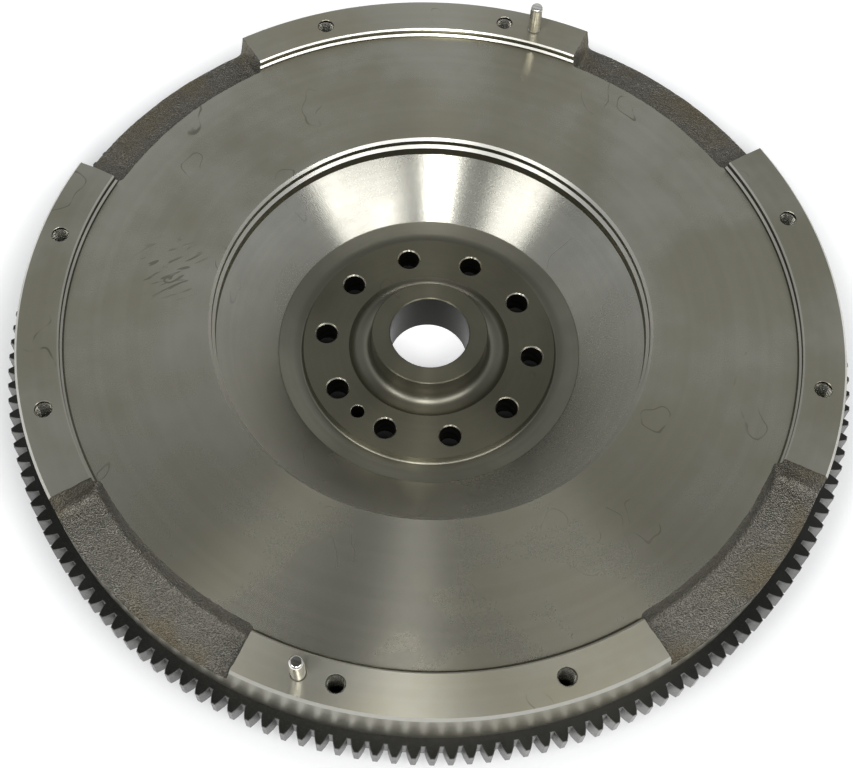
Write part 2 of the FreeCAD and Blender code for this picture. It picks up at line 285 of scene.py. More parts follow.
def new_piece(name, bm, materials):
    """Make an object at the origin from a bmesh."""
    mesh = bpy.data.meshes.new(name)
    bm.to_mesh(mesh)
    bm.free()
    for material in materials:
        mesh.materials.append(material)
    piece = bpy.data.objects.new(name, mesh)
    bpy.context.scene.collection.objects.link(piece)
    return piece


def apply_modifier(piece, kind, **settings):
    """Add a modifier to a piece and apply it."""
    modifier = piece.modifiers.new(kind.title(), kind)
    for key, value in settings.items():
        setattr(modifier, key, value)
    with bpy.context.temp_override(object=piece, active_object=piece, selected_objects=[piece]):
        bpy.ops.object.modifier_apply(modifier=modifier.name)


def polar(radius, angle, height=0.0):
    """A point from its radius, angle and height."""
    return Vector((radius * math.cos(angle), radius * math.sin(angle), height))


# ---------------------------------------------------------------- shader tools


def add(tree, kind, inputs=None, **settings):
    """Add a node, set its options, and set or link its inputs."""
    made = tree.nodes.new("ShaderNode" + kind)
    for key, value in settings.items():
        setattr(made, key, value)
    for key, value in (inputs or {}).items():
        if isinstance(value, bpy.types.NodeSocket):
            tree.links.new(value, made.inputs[key])
        else:
            made.inputs[key].default_value = value
    return made


def maths(tree, operation, first, second=0.0, clamp=False):
    """The result of a Math node."""
    return add(tree, "Math", {0: first, 1: second}, operation=operation, use_clamp=clamp).outputs[0]


def ramp(tree, value, low, high, start=0.0, end=1.0):
    """Map a value smoothly from one range to another."""
    made = add(
        tree,
        "MapRange",
        {"Value": value, "From Min": low, "From Max": high, "To Min": start, "To Max": end},
        interpolation_type="SMOOTHSTEP",
    )
    return made.outputs["Result"]


def blend(tree, factor, first, second, mode="MIX"):
    """Mix two colours."""
    made = add(tree, "Mix", data_type="RGBA", blend_type=mode)
    for key, value in ((0, factor), (6, first), (7, second)):
        if isinstance(value, bpy.types.NodeSocket):
            tree.links.new(value, made.inputs[key])
        else:
            made.inputs[key].default_value = value
    return made.outputs[2]


def rgba(value):
    """A colour with full alpha."""
    return (*value, 1.0)


def shade(value, share):
    """A colour scaled towards black."""
    return tuple(part * share for part in value)


def grey(tree, value):
    """A value as a grey colour."""
    return add(tree, "CombineXYZ", {0: value, 1: value, 2: value}).outputs[0]


def axis_distance(tree, place):
    """How far a point is from the Z axis."""
    flat = add(tree, "VectorMath", {0: place, 1: (1, 1, 0)}, operation="MULTIPLY").outputs[0]
    return add(tree, "VectorMath", {0: flat}, operation="LENGTH").outputs["Value"]


def start_group(name, inputs, outputs):
    """A new node group with float inputs and float outputs."""
    tree = bpy.data.node_groups.new(name, "ShaderNodeTree")
    for socket, default in inputs:
        made = tree.interface.new_socket(name=socket, in_out="INPUT", socket_type="NodeSocketFloat")
        made.default_value = default
    for socket in outputs:
        tree.interface.new_socket(name=socket, in_out="OUTPUT", socket_type="NodeSocketFloat")
    return tree, tree.nodes.new("NodeGroupInput").outputs, tree.nodes.new("NodeGroupOutput").inputs


def turning_marks():
    """Fine tool marks that run round the axis: their height, and a slow shade across the radius."""
    name = "Turning marks"
    if name in bpy.data.node_groups:
        return bpy.data.node_groups[name]
    tree, given, result = start_group(name, [("Spacing", 0.0006), ("Unevenness", 0.3)], ["Height", "Shade"])
    place = add(tree, "TexCoord").outputs["Object"]
    radius = axis_distance(tree, place)
    height = add(tree, "SeparateXYZ", {0: place}).outputs["Z"]
    track = maths(tree, "ADD", radius, maths(tree, "MULTIPLY", height, 1.37))
    count = maths(tree, "DIVIDE", track, given["Spacing"])
    fine = add(
        tree, "TexNoise", {"W": count, "Scale": 1.0, "Detail": 2.0, "Roughness": 0.7}, noise_dimensions="1D"
    ).outputs["Fac"]
    broad = add(
        tree, "TexNoise", {"W": maths(tree, "MULTIPLY", count, 0.11), "Scale": 1.0, "Detail": 3.0},
        noise_dimensions="1D",
    ).outputs["Fac"]
    patch = add(tree, "TexNoise", {"Vector": place, "Scale": 26.0, "Detail": 2.0}).outputs["Fac"]
    fade = ramp(tree, patch, 0.35, 0.65, 0.25, 1.0)
    faded = maths(tree, "MULTIPLY", maths(tree, "SUBTRACT", 1.0, fade), given["Unevenness"])
    uneven = maths(tree, "SUBTRACT", 1.0, faded)
    tree.links.new(maths(tree, "MULTIPLY", fine, uneven), result["Height"])
    tree.links.new(broad, result["Shade"])
    return tree


def metal_grain():
    """The iron's open grain: a fine height and scattered flecks."""
    name = "Metal grain"
    if name in bpy.data.node_groups:
        return bpy.data.node_groups[name]
    tree, given, result = start_group(name, [("Size", 0.0007)], ["Height", "Fleck"])
    place = add(tree, "TexCoord").outputs["Object"]
    scale = maths(tree, "DIVIDE", 1.0, given["Size"])
    grain = add(
        tree, "TexNoise", {"Vector": place, "Scale": scale, "Detail": 2.0, "Roughness": 0.6}
    ).outputs["Fac"]
    cells = add(tree, "TexVoronoi", {"Vector": place, "Scale": scale}, feature="F1").outputs["Color"]
    shade = add(tree, "SeparateXYZ", {0: cells}).outputs["X"]
    tree.links.new(grain, result["Height"])
    tree.links.new(ramp(tree, shade, 0.55, 1.0), result["Fleck"])
    return tree


def oil_stains():
    """Handling marks on bare iron: clouds, thin loops where drops dried, dark spots and one patch of scuffs."""
    name = "Oil stains"
    if name in bpy.data.node_groups:
        return bpy.data.node_groups[name]
    tree, given, result = start_group(name, [("Loop Size", 0.046)], ["Cloud", "Loop", "Spot", "Scuff"])
    place = add(tree, "TexCoord").outputs["Object"]
    cloud = add(
        tree, "TexNoise", {"Vector": place, "Scale": 11.0, "Detail": 4.0, "Roughness": 0.55}
    ).outputs["Fac"]
    wander = add(tree, "TexNoise", {"Vector": place, "Scale": 24.0, "Detail": 2.0}).outputs["Color"]
    sway = add(tree, "VectorMath", {0: wander, 1: (0.5, 0.5, 0.5)}, operation="SUBTRACT").outputs[0]
    sway = add(tree, "VectorMath", {0: sway, "Scale": 0.055}, operation="SCALE").outputs[0]
    bent = add(tree, "VectorMath", {0: place, 1: sway}, operation="ADD").outputs[0]
    bent = add(tree, "VectorMath", {0: bent, 1: (1.5, 0.8, 0.25)}, operation="MULTIPLY").outputs[0]
    scale = maths(tree, "DIVIDE", 1.0, given["Loop Size"])
    cells = add(tree, "TexVoronoi", {"Vector": bent, "Scale": scale}, feature="F1").outputs
    pick = add(tree, "SeparateXYZ", {0: cells["Color"]}).outputs
    reach = ramp(tree, pick["X"], 0.0, 1.0, 0.16, 0.36)
    ring = maths(tree, "ABSOLUTE", maths(tree, "SUBTRACT", cells["Distance"], reach))
    line = ramp(tree, ring, 0.004, 0.013, 1.0, 0.0)
    broken = ramp(tree, add(tree, "TexNoise", {"Vector": place, "Scale": 60.0}).outputs["Fac"], 0.42, 0.56)
    chosen = maths(tree, "GREATER_THAN", pick["Y"], 0.38)
    loop = maths(tree, "MULTIPLY", maths(tree, "MULTIPLY", line, chosen), broken)
    dots = add(tree, "TexNoise", {"Vector": place, "Scale": 170.0, "Detail": 3.0}).outputs["Fac"]
    where = ramp(tree, add(tree, "TexNoise", {"Vector": place, "Scale": 14.0}).outputs["Fac"], 0.55, 0.7)
    near = add(tree, "VectorMath", {0: place, 1: SCUFF_PLACE}, operation="DISTANCE").outputs["Value"]
    turned = add(tree, "VectorRotate", {"Vector": place, "Angle": math.radians(-24)}, rotation_type="Z_AXIS")
    long = add(tree, "VectorMath", {0: turned.outputs[0], 1: (60, 300, 60)}, operation="MULTIPLY").outputs[0]
    strokes = add(
        tree, "TexNoise", {"Vector": long, "Scale": 1.0, "Detail": 2.0, "Distortion": 0.6}
    ).outputs["Fac"]
    scuff = maths(tree, "MULTIPLY", ramp(tree, strokes, 0.57, 0.62), ramp(tree, near, 0.014, 0.026, 1.0, 0.0))
    tree.links.new(scuff, result["Scuff"])
    tree.links.new(cloud, result["Cloud"])
    tree.links.new(loop, result["Loop"])
    tree.links.new(maths(tree, "MULTIPLY", ramp(tree, dots, 0.60, 0.70), where), result["Spot"])
    return tree


def use_group(tree, group, **values):
    """Place a group in a material; words in an input's name are joined by _ here."""
    made = tree.nodes.new("ShaderNodeGroup")
    made.node_tree = group
    for key, value in values.items():
        made.inputs[key.replace("_", " ").title()].default_value = value
    return made.outputs


def metal(name, anisotropic=0.0, turn=0.0):
    """A new metal material and its shader; an anisotropic one follows the turning marks."""
    material = bpy.data.materials.new(name)
    material.use_nodes = True
    tree = material.node_tree
    shader = tree.nodes["Principled BSDF"]
    shader.inputs["Metallic"].default_value = 1.0
    if anisotropic:
        shader.inputs["Anisotropic"].default_value = anisotropic
        shader.inputs["Anisotropic Rotation"].default_value = turn
        tangent = add(tree, "Tangent", direction_type="RADIAL", axis="Z")
        tree.links.new(tangent.outputs[0], shader.inputs["Tangent"])
    return material, tree, shader


def relief(tree, shader, height, distance=1.0):
    """Raise the surface by a height through a Bump node."""
    bump = add(tree, "Bump", {"Height": height, "Distance": distance, "Strength": 1.0})
    tree.links.new(bump.outputs["Normal"], shader.inputs["Normal"])


def turned_iron(
    name, base, stain, roughness, spacing, marks, grain, anisotropic=0.8, grain_size=0.7, loops=0.0
):
    """Iron cut on a lathe: concentric marks, open grain, oily clouds and dried loops.

    spacing, grain_size and the depths marks and grain of the two reliefs are in millimetres.
    """
    material, tree, shader = metal(name, anisotropic=anisotropic, turn=0.25)
    lines = use_group(tree, turning_marks(), spacing=spacing * MM)
    iron = use_group(tree, metal_grain(), size=grain_size * MM)
    oil = use_group(tree, oil_stains())
    cloud = ramp(tree, oil["Cloud"], 0.36, 0.66)
    tone = blend(tree, cloud, rgba(base), rgba(stain))
    band = ramp(tree, lines["Shade"], 0.3, 0.7, 0.98, 1.02)
    tone = blend(tree, 1.0, tone, grey(tree, band), "MULTIPLY")
    mark = maths(tree, "MAXIMUM", oil["Loop"], maths(tree, "MULTIPLY", oil["Spot"], 0.08))
    mark = maths(tree, "MAXIMUM", mark, oil["Scuff"])
    tone = blend(tree, maths(tree, "MULTIPLY", mark, loops), tone, rgba(shade(stain, 0.45)))
    tree.links.new(tone, shader.inputs["Base Color"])
    flecked = ramp(tree, iron["Fleck"], 0.0, 1.0, roughness, roughness * 0.93)
    rough = maths(tree, "ADD", flecked, maths(tree, "MULTIPLY", mark, 0.15 * loops))
    rough = maths(tree, "ADD", rough, ramp(tree, cloud, 0.0, 1.0, -0.02, 0.03))
    tree.links.new(rough, shader.inputs["Roughness"])
    grooves = maths(tree, "MULTIPLY", lines["Height"], marks * MM)
    height = maths(tree, "ADD", grooves, maths(tree, "MULTIPLY", iron["Height"], grain * MM))
    relief(tree, shader, height)
    return material


def cast_skin(colours):
    """Unmachined iron: a sandy, glinting skin with thin rust towards the rim."""
    material, tree, shader = metal("Cast skin")
    place = add(tree, "TexCoord").outputs["Object"]
    radius = axis_distance(tree, place)
    iron = use_group(tree, metal_grain(), size=0.75 * MM)
    sand = use_group(tree, metal_grain(), size=1.5 * MM)
    patch = add(tree, "TexNoise", {"Vector": place, "Scale": 30.0, "Detail": 4.0}).outputs["Fac"]
    outward = ramp(tree, radius, 0.214, 0.236)
    rusty = maths(tree, "MULTIPLY", ramp(tree, patch, 0.40, 0.62), outward)
    depth = ramp(tree, iron["Height"], 0.35, 0.65, 0.6, 1.2)
    tone = blend(tree, maths(tree, "MULTIPLY", rusty, 0.75), rgba(colours.skin), rgba(colours.rust))
    tone = blend(tree, 1.0, tone, grey(tree, depth), "MULTIPLY")
    tree.links.new(tone, shader.inputs["Base Color"])
    tree.links.new(ramp(tree, rusty, 0.0, 1.0, 0.42, 0.56), shader.inputs["Roughness"])
    fine = maths(tree, "MULTIPLY", iron["Height"], 0.62 * MM)
    height = maths(tree, "ADD", fine, maths(tree, "MULTIPLY", sand["Height"], 0.5 * MM))
    relief(tree, shader, height)
    return material


def drilled_wall():
    """The dark, oily wall of a drilled hole."""
    material, tree, shader = metal("Drilled wall")
    rings = use_group(tree, turning_marks(), spacing=0.5 * MM)
    oily, worn = (0.05, 0.047, 0.04), (0.11, 0.10, 0.085)
    tone = blend(tree, ramp(tree, rings["Shade"], 0.3, 0.7), rgba(oily), rgba(worn))
    tree.links.new(tone, shader.inputs["Base Color"])
    tree.links.new(ramp(tree, rings["Height"], 0.2, 0.8, 0.3, 0.5), shader.inputs["Roughness"])
    relief(tree, shader, rings["Height"], 0.05 * MM)
    return material


def thread_steel(colours):
    """Freshly cut thread, bright on its crests."""
    material, tree, shader = metal("Cut thread")
    iron = use_group(tree, metal_grain(), size=0.5 * MM)
    # The thread takes the chamfers' brighter colour, a painted highlight
    tone = blend(tree, iron["Fleck"], rgba(colours.edge), rgba(shade(colours.edge, 0.6)))
    tree.links.new(tone, shader.inputs["Base Color"])
    tree.links.new(ramp(tree, iron["Height"], 0.3, 0.7, 0.18, 0.32), shader.inputs["Roughness"])
    relief(tree, shader, iron["Height"], 0.02 * MM)
    return material


def gear_steel(name, tone, roughness):
    """Hardened steel of the ring gear with a blued, slightly scuffed surface."""
    material, tree, shader = metal(name)
    iron = use_group(tree, metal_grain(), size=0.9 * MM)
    oil = use_group(tree, oil_stains())
    light = [min(1.0, part * 1.7) for part in tone]
    mixed = blend(tree, ramp(tree, oil["Cloud"], 0.4, 0.65), rgba(tone), rgba(light))
    mixed = blend(tree, maths(tree, "MULTIPLY", iron["Fleck"], 0.35), mixed, rgba(light))
    tree.links.new(mixed, shader.inputs["Base Color"])
    rough = ramp(tree, iron["Height"], 0.3, 0.7, roughness - 0.06, roughness + 0.08)
    tree.links.new(rough, shader.inputs["Roughness"])
    relief(tree, shader, iron["Height"], 0.05 * MM)
    return material


def ground_steel(colours):
    """Polished pins with faint grinding rings."""
    material, tree, shader = metal("Ground pin", anisotropic=0.4, turn=0.0)
    rings = use_group(tree, turning_marks(), spacing=0.25 * MM)
    duller = rgba(shade(colours.pin, 0.8))
    tone = blend(tree, ramp(tree, rings["Shade"], 0.35, 0.65), rgba(colours.pin), duller)
    tree.links.new(tone, shader.inputs["Base Color"])
    tree.links.new(ramp(tree, rings["Height"], 0.3, 0.7, 0.12, 0.22), shader.inputs["Roughness"])
    relief(tree, shader, rings["Height"], 0.004 * MM)
    return material


# ---------------------------------------------------------------- the casting


def turn_casting(bm, s):
    """Turn the whole section of the casting, one run for each finish."""
    top, face = s.pad_height, s.face_height
    foot = s.pad_inner - s.pad_foot
    lip = s.face_inner - s.lip_chamfer
    step = lip - s.step_chamfer
    lip_low = face - s.lip_chamfer - s.lip_wall
    step_low = lip_low - s.step_chamfer - s.step_wall
    rear = [(s.bore_radius, s.edge), (s.bore_radius + s.edge, 0), (s.boss_radius, 0)]
    hollow_rear = [
        (s.boss_radius, 0),
        (s.web_inner, s.web_height, 5 * MM),
        (s.web_outer, s.web_height, 5 * MM),
        (s.rim_inner, s.rim_rear),
    ]
    rim = [
        (s.rim_inner, s.rim_rear),
        (s.register_radius - MM, s.rim_rear),
        (s.register_radius, s.rim_rear + MM),
        (s.register_radius, s.gear_seat),
        (s.rim_radius, s.gear_seat),
        (s.rim_radius, top - s.pad_chamfer),
    ]
    # Chamfers and ledges take a brighter colour as a painted highlight; the walls between them take a darker
    # colour as painted shade
    stepped = [
        (PAINTED_EDGE_HIGHLIGHT, (s.rim_radius, top - s.pad_chamfer), (s.rim_radius - s.pad_chamfer, top)),
        (PAD, (s.rim_radius - s.pad_chamfer, top), (s.pad_inner + s.pad_inner_chamfer, top)),
        (PAINTED_EDGE_HIGHLIGHT, (s.pad_inner + s.pad_inner_chamfer, top), (s.pad_inner, top - s.pad_inner_chamfer)),
        (PAINTED_SHADE_WALL, (s.pad_inner, top - s.pad_inner_chamfer), (s.pad_inner, face + s.pad_foot)),
        (PAINTED_EDGE_HIGHLIGHT, (s.pad_inner, face + s.pad_foot), (foot, face)),
        (PAINTED_SHADE_WALL, (foot, face), (foot, face - s.relief_depth), (foot - s.pad_foot, face - s.relief_depth)),
        (FACE, (foot - s.pad_foot, face - s.relief_depth), (foot - s.pad_foot, face), (s.face_inner, face)),
        (PAINTED_EDGE_HIGHLIGHT, (s.face_inner, face), (lip, face - s.lip_chamfer)),
        (PAINTED_SHADE_WALL, (lip, face - s.lip_chamfer), (lip, lip_low)),
        (PAINTED_EDGE_HIGHLIGHT, (lip, lip_low), (step, lip_low - s.step_chamfer)),
        (PAINTED_SHADE_WALL, (step, lip_low - s.step_chamfer), (step, step_low)),
    ]
    cone = [(step, step_low), (s.cone_foot, s.cone_foot_height)]
    channel = [
        (s.cone_foot, s.cone_foot_height),
        (s.cone_foot - 0.35 * MM, s.cone_foot_height - 0.4 * MM),
        (s.channel_radius, s.channel_height, 3.0 * MM),
        (s.flange_radius, s.channel_height, 4.3 * MM),
        (s.flange_radius, s.flange_height),
    ]
    flange = [(s.flange_radius, s.flange_height), (s.flange_inner, s.flange_height)]
    well = [
        (s.flange_inner, s.flange_height),
        (s.well_radius + 1.6 * MM, s.well_height + 1.0 * MM, 1.5 * MM),
        (s.well_radius - 1.5 * MM, s.well_height),
        (s.hub_radius, s.well_height, 5.5 * MM),
        (s.hub_radius, s.hub_height - s.edge),
    ]
    hub = [
        (s.hub_radius, s.hub_height - s.edge),
        (s.hub_radius - s.edge, s.hub_height),
        (s.bore_radius + s.edge, s.hub_height),
        (s.bore_radius, s.hub_height - s.edge),
    ]
    bore = [(s.bore_radius, s.hub_height - s.edge), (s.bore_radius, s.edge)]
    for corners, finish in (
        (rear, RIM), (hollow_rear, SKIN), (rim, RIM), (cone, CONE),
        (channel, HOLLOW), (flange, FLANGE), (well, HOLLOW), (hub, FLANGE), (bore, BORE),
    ):
        lathe(bm, corners, finish, TURNED_STEPS)
    for finish, *corners in stepped:
        lathe(bm, corners, finish, TURNED_STEPS)
    close_up(bm)


def gap_cutter(s, middle):
    """The rough solid that leaves one as-cast gap between two pads.

    A block is bent to the gap, given even small faces, smoothed so that its foot is round, and made lumpy.
    """
    above = s.pad_height + 2.4 * MM
    bm = bmesh.new()
    bmesh.ops.create_cube(bm, size=1.0)
    along = [edge for edge in bm.edges if abs(edge.verts[0].co.x - edge.verts[1].co.x) > 0.5]
    bmesh.ops.subdivide_edges(bm, edges=along, cuts=33, use_grid_fill=True)
    draft = s.slot_draft / s.rim_radius
    for vert in bm.verts:
        low, inner = vert.co.z < 0, vert.co.y < 0
        half = s.slot_angle / 2 - (draft if low else -0.2 * draft)
        if inner:
            radius = s.slot_foot if low else s.slot_inner - 3.0 * MM
            height = s.slot_height if low else above
        else:
            radius = s.rim_radius + 3.0 * MM
            height = s.slot_height - s.slot_fall if low else above
        vert.co = polar(radius, middle - 2 * half * vert.co.x, height)
    close_up(bm)
    cutter = new_piece("gap_cutter", bm, [])
    apply_modifier(cutter, "REMESH", mode="VOXEL", voxel_size=1.15 * MM, use_smooth_shade=True)
    bm = bmesh.new()
    bm.from_mesh(cutter.data)
    for _ in range(s.slot_round):
        bmesh.ops.smooth_vert(
            bm, verts=bm.verts, factor=0.5, use_axis_x=True, use_axis_y=True, use_axis_z=True
        )
    bmesh.ops.recalc_face_normals(bm, faces=bm.faces)
    for vert in bm.verts:
        lumps = noise.noise(vert.co * 190) * 0.25 + noise.noise(vert.co * 480) * 0.22
        lumps += noise.noise(vert.co * 60) * 0.3
        vert.co += vert.normal * lumps * MM
    for face in bm.faces:
        face.material_index = SKIN
    bpy.data.objects.remove(cutter)
    return bm


def cut_casting(piece, s, pin_angle):
    """Cut the gaps between the pads and drill every hole."""
    bm = bmesh.new()
    for quarter in range(4):
        turn = quarter * math.tau / 4
        for side in (-1, 1):
            at = polar(s.cover_circle, turn + side * s.cover_offset)
            drill(bm, s.cover_hole, COVER_SINK, s.pad_height, s.pad_height - s.cover_depth, at, DRILL_POINT)
    for number in range(s.crank_count):
        at = polar(s.crank_circle, s.crank_start + number * math.tau / s.crank_count)
        drill(bm, s.crank_hole, CRANK_SINK, s.flange_height, -1 * MM, at)
    drill(bm, s.dowel_radius, DOWEL_SINK, s.flange_height, -1 * MM, polar(s.crank_circle, s.dowel_angle))
    for angle in (pin_angle, pin_angle + math.pi):
        at = polar(s.cover_circle, angle)
        drill(bm, PIN_HOLE, PIN_SINK, s.pad_height, PIN_LOW.z - 0.5 * MM, at)
    close_up(bm)
    for quarter in range(4):
        join(bm, gap_cutter(s, (quarter + 0.5) * math.tau / 4))
    cutter = new_piece("cutter", bm, piece.data.materials)
    apply_modifier(piece, "BOOLEAN", operation="DIFFERENCE", solver="EXACT", object=cutter)
    bpy.data.objects.remove(cutter)


def cut_threads(bm, s):
    """Wind a thread down the wall of each clutch cover hole."""
    turns, steps = 14, 24
    low = s.pad_height - 0.7 * MM - turns * s.cover_pitch
    root, crest = s.cover_hole - 0.01 * MM, s.cover_crest
    for quarter in range(4):
        for side in (-1, 1):
            wall = bmesh.new()
            corners = [(root, 0.0), (crest, 0.30), (crest, 0.52), (root, 0.82), (root, 1.0)]
            verts = [wall.verts.new((radius, 0, low + share * s.cover_pitch)) for radius, share in corners]
            for pair in zip(verts, verts[1:]):
                wall.edges.new(pair)
            bmesh.ops.spin(
                wall, geom=wall.verts[:] + wall.edges[:], axis=(0, 0, 1), dvec=(0, 0, s.cover_pitch / steps),
                angle=math.tau * (turns - 1), steps=(turns - 1) * steps,
            )
            bmesh.ops.remove_doubles(wall, verts=wall.verts, dist=0.01 * MM)
            bmesh.ops.recalc_face_normals(wall, faces=wall.faces)
            middle = wall.faces[:][0]
            if middle.normal.xy.dot(middle.calc_center_median().xy) > 0:
                bmesh.ops.reverse_faces(wall, faces=wall.faces)
            for face in wall.faces:
                face.material_index = THREAD
                face.smooth = True
            at = polar(s.cover_circle, quarter * math.tau / 4 + side * s.cover_offset)
            bmesh.ops.translate(wall, verts=wall.verts, vec=at)
            join(bm, wall)


class FLYWHEEL_OT_casting(Operator):
    """Turn, gap and drill the flywheel's casting"""

    bl_idname = "flywheel.casting"
    bl_label = "Casting"

    def execute(self, context):
        s, colours = context.scene.flywheel_casting, context.scene.flywheel_finishes
        face, stain, cone = tuple(colours.face), tuple(colours.face_stain), tuple(colours.cone)
        edge, hollow, flange = tuple(colours.edge), tuple(colours.hollow), tuple(colours.flange)
        # Painted shade: the walls between chamfers take a copy of the flange colour, and the bore's wall a
        # nearly black copy
        wall, bore_painted_shade = shade(flange, 1.1), shade(flange, 0.05)
        # Name, colour, stain, roughness, then spacing, depth of marks and depth of grain in millimetres
        turned = (
            ("Turned face", face, stain, 0.275, 0.8, 0.008, 0.010, {"anisotropic": 0.92, "loops": 0.6}),
            ("Turned pad", face, stain, 0.385, 0.6, 0.008, 0.012, {"anisotropic": 0.9, "loops": 0.6}),
            ("Turned rim", shade(face, 0.75), shade(stain, 0.7), 0.32, 0.5, 0.006, 0.008, {"anisotropic": 0.6}),
            # Painted highlight: the chamfers' and ledges' brighter colour
            ("Broken edge", edge, shade(edge, 0.8), 0.34, 0.4, 0.004, 0.006, {"anisotropic": 0.5}),
            # Painted shade: the walls between chamfers and ledges take a darker colour than the face
            ("Step wall", wall, shade(wall, 0.7), 0.34, 0.4, 0.004, 0.006, {"anisotropic": 0.5}),
            (
                "Bright cone", cone, shade(cone, 0.85), 0.25, 0.7, 0.006, 0.022,
                {"anisotropic": 0.9, "grain_size": 0.8, "loops": 0.2},
            ),
            ("Turned hollow", hollow, shade(hollow, 0.75), 0.36, 0.6, 0.006, 0.014, {"anisotropic": 0.5}),
            ("Turned flange", flange, shade(flange, 0.75), 0.42, 0.5, 0.006, 0.014, {"loops": 0.3}),
            # Painted shade: the bore's wall is coloured nearly black
            ("Bored wall", bore_painted_shade, bore_painted_shade, 0.40, 0.5, 0.010, 0.010, {"anisotropic": 0.4}),
        )
        materials = [
            *(turned_iron(*values, **options) for *values, options in turned),
            cast_skin(colours),
            drilled_wall(),
            thread_steel(colours),
        ]
        bm = bmesh.new()
        turn_casting(bm, s)
        piece = new_piece("flywheel_casting", bm, materials)
        cut_casting(piece, s, context.scene.flywheel_pins.angle)
        bm = bmesh.new()
        bm.from_mesh(piece.data)
        bmesh.ops.remove_doubles(bm, verts=bm.verts, dist=0.002 * MM)
        soften(bm, math.radians(26), SKIN)
        cut_threads(bm, s)
        bm.to_mesh(piece.data)
        bm.free()
        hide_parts("flywheel_body")
        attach(piece, "root")
        return {"FINISHED"}


# ---------------------------------------------------------------- the ring gear


def tooth_sector(bm, g):
    """One tooth with half a gap each side, as an upright block open where it meets its neighbours."""
    pitch = math.tau / g.teeth
    rise = g.tip_radius - g.root_radius
    half_root = pitch / 2 - g.root_gap / 2 / g.root_radius
    half_tip = g.tip_land / 2 / g.tip_radius
    flank = []
    for share in (0.0, 0.12, 0.4, 0.7, 1.0):
        bow = g.flank_bulge * 4 * share * (1 - share) / g.root_radius
        spread = half_root + (half_tip - half_root) * share + bow
        flank.append((g.root_radius + rise * share, spread))
    outline = [(g.bore_radius, -pitch / 2), (g.root_radius, -pitch / 2)]
    outline += [(radius, -spread) for radius, spread in flank]
    outline += [(radius, spread) for radius, spread in reversed(flank)]
    outline += [(g.root_radius, pitch / 2), (g.bore_radius, pitch / 2)]
    verts = [bm.verts.new(polar(radius, angle + pitch / 2, GEAR_LOW.z)) for radius, angle in outline]
    face = bm.faces.new(verts)
    grown = bmesh.ops.extrude_face_region(bm, geom=[face], use_keep_orig=True)["geom"]
    top = [part for part in grown if isinstance(part, bmesh.types.BMVert)]
    bmesh.ops.translate(bm, verts=top, vec=(0, 0, GEAR_HIGH.z - GEAR_LOW.z))
    joints = [
        side for side in bm.faces
        if len(side.verts) == 4 and abs(side.normal.z) < 0.1
        and {round(math.atan2(vert.co.y, vert.co.x) / pitch, 3) for vert in side.verts} in ({0.0}, {1.0})
    ]
    bmesh.ops.delete(bm, geom=joints, context="FACES_ONLY")


class FLYWHEEL_OT_ring_gear(Operator):
    """Repeat one tooth round the ring and chamfer its ends"""

    bl_idname = "flywheel.ring_gear"
    bl_label = "Ring gear"

    def execute(self, context):
        g, colours = context.scene.flywheel_gear, context.scene.flywheel_finishes
        bm = bmesh.new()
        tooth_sector(bm, g)
        steps = g.teeth - 1
        bmesh.ops.spin(
            bm, geom=bm.faces[:] + bm.edges[:] + bm.verts[:], axis=(0, 0, 1), angle=math.tau * steps / g.teeth,
            steps=steps, use_duplicate=True,
        )
        close_up(bm, 0.02 * MM)
        outer = [
            edge for edge in bm.edges
            if edge.is_manifold and abs(edge.calc_face_angle() - math.pi / 2) < 0.1
            and all(vert.co.xy.length > g.root_radius - MM for vert in edge.verts)
            and abs(edge.verts[0].co.z - edge.verts[1].co.z) < MM
        ]
        bmesh.ops.bevel(bm, geom=outer, offset=g.edge, segments=1, profile=0.5, affect="EDGES", material=-1)
        for face in bm.faces:
            inside = face.calc_center_median().xy.length < g.root_radius - MM
            face.material_index = 0 if abs(face.normal.z) > 0.9 or inside else 1
        soften(bm, math.radians(26))
        materials = [
            gear_steel("Gear face", tuple(colours.gear), 0.42),
            gear_steel("Tooth flank", tuple(colours.flank), 0.36),
        ]
        piece = new_piece("ring_gear", bm, materials)
        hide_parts("starter_ring_gear")
        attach(piece, "root")
        return {"FINISHED"}


# ---------------------------------------------------------------- the dowel pins


class FLYWHEEL_OT_dowel_pins(Operator):
    """Turn the two pins that locate the clutch cover"""

    bl_idname = "flywheel.dowel_pins"
    bl_label = "Dowel pins"

    def execute(self, context):
        p, s = context.scene.flywheel_pins, context.scene.flywheel_casting
        material = ground_steel(context.scene.flywheel_finishes)
        low, high, neck = PIN_LOW.z, PIN_HIGH.z, s.pad_height
        for number in (1, 2):
            bm = bmesh.new()
            lathe(
                bm,
                [
                    (0, low),
                    (p.radius - MM, low),
                    (p.radius, low + MM),
                    (p.radius, neck),
                    (p.neck_radius, neck + 0.1 * MM),
                    (p.neck_radius, neck + 0.9 * MM),
                    (p.free_radius, neck + 1.1 * MM),
                    (p.free_radius, high - p.chamfer, 0.4 * MM),
                    (p.free_radius - 0.8 * p.chamfer, high, 0.5 * MM),
                    (0, high),
                ],
                0,
                DRILLED_STEPS,
            )
            close_up(bm)
            soften(bm, math.radians(30))
            at = polar(s.cover_circle, p.angle + (number - 1) * math.pi)
            bmesh.ops.translate(bm, verts=bm.verts, vec=at)
            piece = new_piece("dowel_pin_%d" % number, bm, [material])
            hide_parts("clutch_dowel_pin_%d" % number)
            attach(piece, "root")
        return {"FINISHED"}


# ---------------------------------------------------------------- the stage


